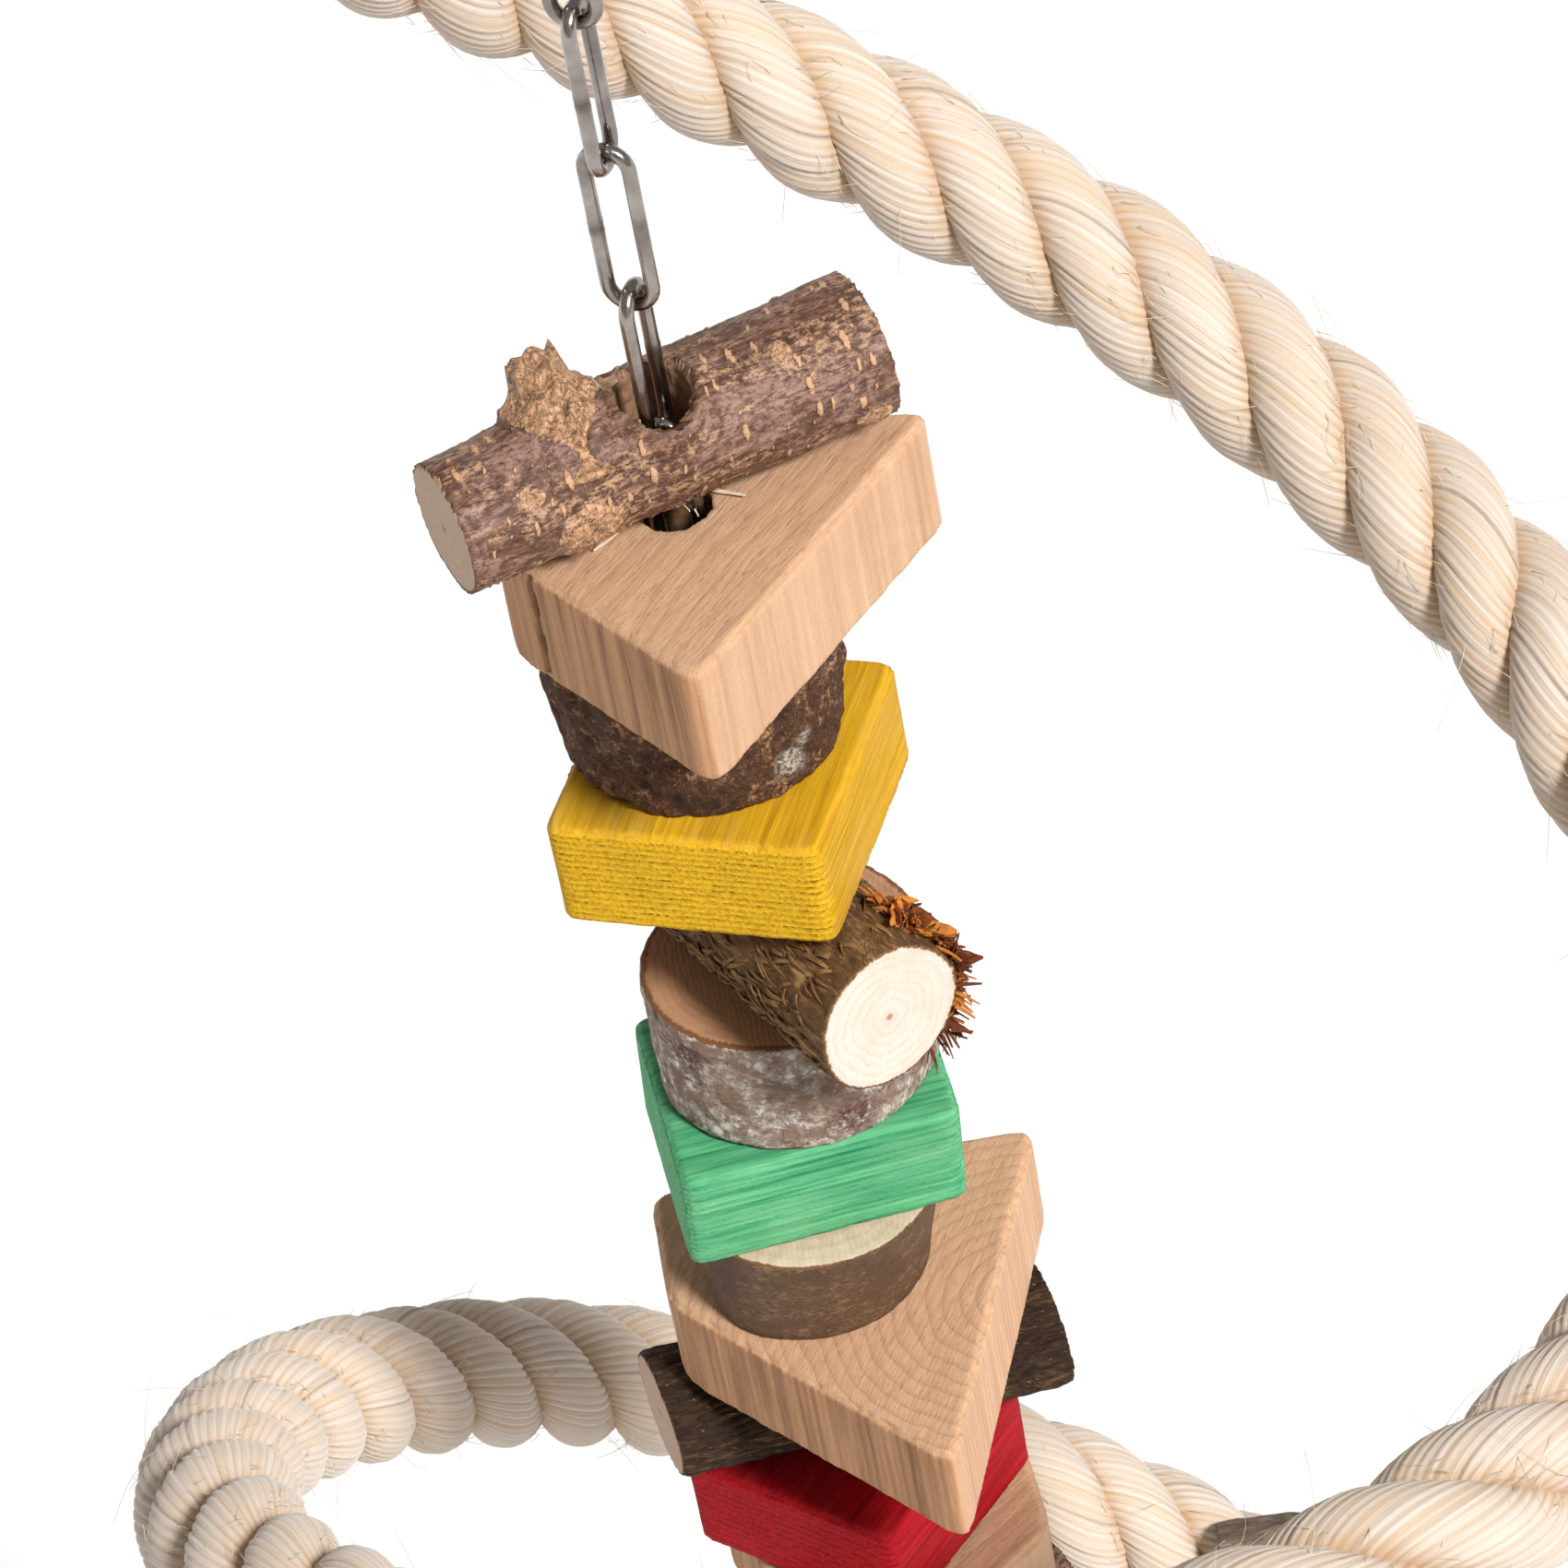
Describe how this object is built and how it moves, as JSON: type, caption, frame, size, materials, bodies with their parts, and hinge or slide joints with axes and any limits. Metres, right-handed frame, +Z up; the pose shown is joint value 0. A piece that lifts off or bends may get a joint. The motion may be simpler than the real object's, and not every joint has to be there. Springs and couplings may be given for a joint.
{
  "type": "bird climbing spiral",
  "caption": "Hanging coil of stiff twisted rope that a bird climbs, round a chain threaded with dyed blocks, wedges, bark slices and branch pieces to gnaw.",
  "frame": {"origin": "bearing point inside the top bow of the quick link, where the toy hangs", "axes": "+Z up along the chain, +X along the quick link's width, -Y towards the viewer in the picture"},
  "size_m": [0.2479, 0.2458, 0.7726],
  "materials": {
    "hardware": "polished",
    "chain_steel": "polished",
    "spring_wire": "drawn",
    "rope": "twisted plant fibre",
    "raw_wood": "sawn, untreated",
    "hazel_bark": "bark",
    "dark_bark": "bark",
    "birch_bark": "bark",
    "grey_bark": "bark",
    "yellow_dye": "dyed, sawn",
    "green_dye": "dyed, sawn",
    "red_dye": "dyed, sawn"
  },
  "bodies": {
    "hanger": {"quick_link": "hardware"},
    "gate": {"gate_nut": "hardware"},
    "spiral": {"rope_spiral": "rope", "core_wire": "spring_wire", "rope_cap_upper": "hardware", "rope_cap_lower": "hardware", "eye_bolt": "hardware", "washer_upper": "hardware", "washer_lower": "hardware", "eye_nut": "hardware", "perch_branch": "grey_bark", "perch_screw": "hardware", "perch_washer": "hardware"},
    "link_01": {"chain_link_01": "chain_steel"},
    "link_02": {"chain_link_02": "chain_steel"},
    "link_03": {"chain_link_03": "chain_steel"},
    "link_04": {"chain_link_04": "chain_steel"},
    "link_05": {"chain_link_05": "chain_steel"},
    "link_06": {"chain_link_06": "chain_steel"},
    "link_07": {"chain_link_07": "chain_steel"},
    "stack_chain": {"chain_link_08": "chain_steel", "chain_link_09": "chain_steel", "chain_link_10": "chain_steel", "chain_link_11": "chain_steel", "chain_link_12": "chain_steel", "chain_link_13": "chain_steel", "chain_link_14": "chain_steel", "chain_link_15": "chain_steel", "chain_link_16": "chain_steel", "chain_link_17": "chain_steel", "chain_link_18": "chain_steel", "chain_link_19": "chain_steel", "chain_link_20": "chain_steel"},
    "log_1": {"log_1": "hazel_bark"},
    "wedge_1": {"wedge_1": "raw_wood"},
    "slice_1": {"slice_1": "dark_bark"},
    "block_yellow": {"block_yellow": "yellow_dye"},
    "log_2": {"log_2": "dark_bark"},
    "slice_2": {"slice_2": "birch_bark"},
    "block_green": {"block_green": "green_dye"},
    "slice_3": {"slice_3": "grey_bark"},
    "wedge_2": {"wedge_2": "raw_wood"},
    "log_3": {"log_3": "dark_bark"},
    "block_red": {"block_red": "red_dye"},
    "wedge_3": {"wedge_3": "raw_wood"},
    "slice_4": {"slice_4": "grey_bark"},
    "log_4": {"log_4": "hazel_bark"},
    "end_ring": {"end_ring": "hardware"}
  },
  "joints": [
    {"name": "gate_slide", "type": "slide", "parent": "hanger", "child": "gate", "axis": [0, 0, 1], "range_m": [0, 0.0105]},
    {"name": "spiral_swing", "type": "hinge", "parent": "hanger", "child": "spiral", "pos_m": [0, 0, -0.0405], "axis": [1, 0, 0], "range_deg": [-55, 55]},
    {"name": "link_01_swing", "type": "hinge", "parent": "spiral", "child": "link_01", "pos_m": [0, 0, -0.1045], "axis": [0.4321, 0.9018, 0], "range_deg": [-5.5, 5.5]},
    {"name": "link_02_swing", "type": "hinge", "parent": "link_01", "child": "link_02", "pos_m": [0, 0, -0.1259], "axis": [0.9018, -0.4321, 0], "range_deg": [-5.5, 5.5]},
    {"name": "link_03_swing", "type": "hinge", "parent": "link_02", "child": "link_03", "pos_m": [0, 0, -0.1479], "axis": [-0.4321, -0.9018, 0], "range_deg": [-6, 6]},
    {"name": "link_04_swing", "type": "hinge", "parent": "link_03", "child": "link_04", "pos_m": [0, 0, -0.1699], "axis": [-0.9018, 0.4321, 0], "range_deg": [-6, 6]},
    {"name": "link_05_swing", "type": "hinge", "parent": "link_04", "child": "link_05", "pos_m": [0, 0, -0.1919], "axis": [0.4321, 0.9018, 0], "range_deg": [-7, 7]},
    {"name": "link_06_swing", "type": "hinge", "parent": "link_05", "child": "link_06", "pos_m": [0, 0, -0.2139], "axis": [0.9018, -0.4321, 0], "range_deg": [-7, 7]},
    {"name": "link_07_swing", "type": "hinge", "parent": "link_06", "child": "link_07", "pos_m": [0, 0, -0.2359], "axis": [-0.4321, -0.9018, 0], "range_deg": [-8, 8]},
    {"name": "stack_chain_swing", "type": "hinge", "parent": "link_07", "child": "stack_chain", "pos_m": [0, 0, -0.2579], "axis": [-0.9018, 0.4321, 0], "range_deg": [-9, 9]},
    {"name": "log_1_spin", "type": "hinge", "parent": "stack_chain", "child": "log_1", "pos_m": [0, 0, -0.4], "axis": [0, 0, 1], "continuous": true},
    {"name": "wedge_1_spin", "type": "hinge", "parent": "stack_chain", "child": "wedge_1", "pos_m": [0, 0, -0.4], "axis": [0, 0, 1], "continuous": true},
    {"name": "slice_1_spin", "type": "hinge", "parent": "stack_chain", "child": "slice_1", "pos_m": [0, 0, -0.4], "axis": [0, 0, 1], "continuous": true},
    {"name": "block_yellow_spin", "type": "hinge", "parent": "stack_chain", "child": "block_yellow", "pos_m": [0, 0, -0.4], "axis": [0, 0, 1], "continuous": true},
    {"name": "log_2_spin", "type": "hinge", "parent": "stack_chain", "child": "log_2", "pos_m": [0, 0, -0.4], "axis": [0, 0, 1], "continuous": true},
    {"name": "slice_2_spin", "type": "hinge", "parent": "stack_chain", "child": "slice_2", "pos_m": [0, 0, -0.4], "axis": [0, 0, 1], "continuous": true},
    {"name": "block_green_spin", "type": "hinge", "parent": "stack_chain", "child": "block_green", "pos_m": [0, 0, -0.4], "axis": [0, 0, 1], "continuous": true},
    {"name": "slice_3_spin", "type": "hinge", "parent": "stack_chain", "child": "slice_3", "pos_m": [0, 0, -0.4], "axis": [0, 0, 1], "continuous": true},
    {"name": "wedge_2_spin", "type": "hinge", "parent": "stack_chain", "child": "wedge_2", "pos_m": [0, 0, -0.4], "axis": [0, 0, 1], "continuous": true},
    {"name": "log_3_spin", "type": "hinge", "parent": "stack_chain", "child": "log_3", "pos_m": [0, 0, -0.4], "axis": [0, 0, 1], "continuous": true},
    {"name": "block_red_spin", "type": "hinge", "parent": "stack_chain", "child": "block_red", "pos_m": [0, 0, -0.4], "axis": [0, 0, 1], "continuous": true},
    {"name": "wedge_3_spin", "type": "hinge", "parent": "stack_chain", "child": "wedge_3", "pos_m": [0, 0, -0.4], "axis": [0, 0, 1], "continuous": true},
    {"name": "slice_4_spin", "type": "hinge", "parent": "stack_chain", "child": "slice_4", "pos_m": [0, 0, -0.4], "axis": [0, 0, 1], "continuous": true},
    {"name": "log_4_spin", "type": "hinge", "parent": "stack_chain", "child": "log_4", "pos_m": [0, 0, -0.4], "axis": [0, 0, 1], "continuous": true},
    {"name": "end_ring_swing", "type": "hinge", "parent": "stack_chain", "child": "end_ring", "pos_m": [0, 0, -0.5439], "axis": [0.4321, 0.9018, 0], "range_deg": [-14, 14]}
  ]
}
